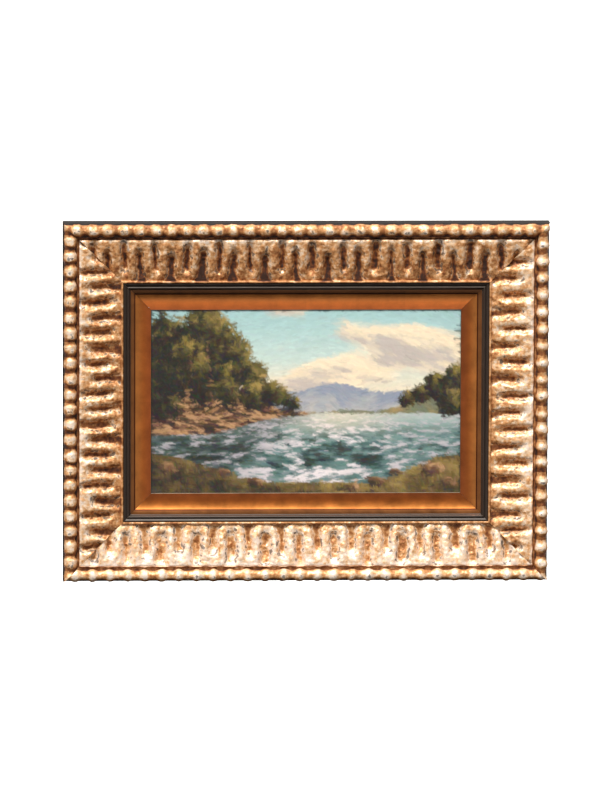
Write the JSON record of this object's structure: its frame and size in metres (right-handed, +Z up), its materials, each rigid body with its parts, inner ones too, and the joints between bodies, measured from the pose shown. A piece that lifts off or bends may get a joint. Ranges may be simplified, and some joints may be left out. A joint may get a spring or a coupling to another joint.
{
  "type": "framed oil painting",
  "caption": "Oil painting in a deep carved and gilded frame with a beaded outer edge, a serpentine ribbon, a black inner moulding and a gilt slip.",
  "frame": {"origin": "middle of the flat back of the top rail, where the picture hangs against the wall", "axes": "+Y into the wall, so the picture faces -Y; +Z up; +X to the right of someone who looks at the picture"},
  "size_m": [0.787, 0.0559, 0.585],
  "materials": {
    "gilded_wood": "carved wood with gesso and red bole, silver gilt, rubbed and worn on the high points; outer sides stained black",
    "ebonised_wood": "wood stained black and waxed to a satin",
    "copper_leaf": "wood with gesso and copper-coloured metal leaf under a warm varnish",
    "painted_canvas": "linen primed and painted in oils, low brush relief, satin varnish; bare linen behind",
    "pine": "planed softwood, unfinished and darkened with age"
  },
  "bodies": {
    "root": {"frame_rail_top": "gilded_wood", "frame_rail_right": "gilded_wood", "frame_rail_bottom": "gilded_wood", "frame_rail_left": "gilded_wood", "black_moulding_top": "ebonised_wood", "black_moulding_right": "ebonised_wood", "black_moulding_bottom": "ebonised_wood", "black_moulding_left": "ebonised_wood", "gilt_slip_top": "copper_leaf", "gilt_slip_right": "copper_leaf", "gilt_slip_bottom": "copper_leaf", "gilt_slip_left": "copper_leaf", "canvas": "painted_canvas", "stretcher_bar_top": "pine", "stretcher_bar_right": "pine", "stretcher_bar_bottom": "pine", "stretcher_bar_left": "pine", "stretcher_key_1": "pine", "stretcher_key_2": "pine", "stretcher_key_3": "pine", "stretcher_key_4": "pine", "stretcher_key_5": "pine", "stretcher_key_6": "pine", "stretcher_key_7": "pine", "stretcher_key_8": "pine"}
  },
  "joints": []
}
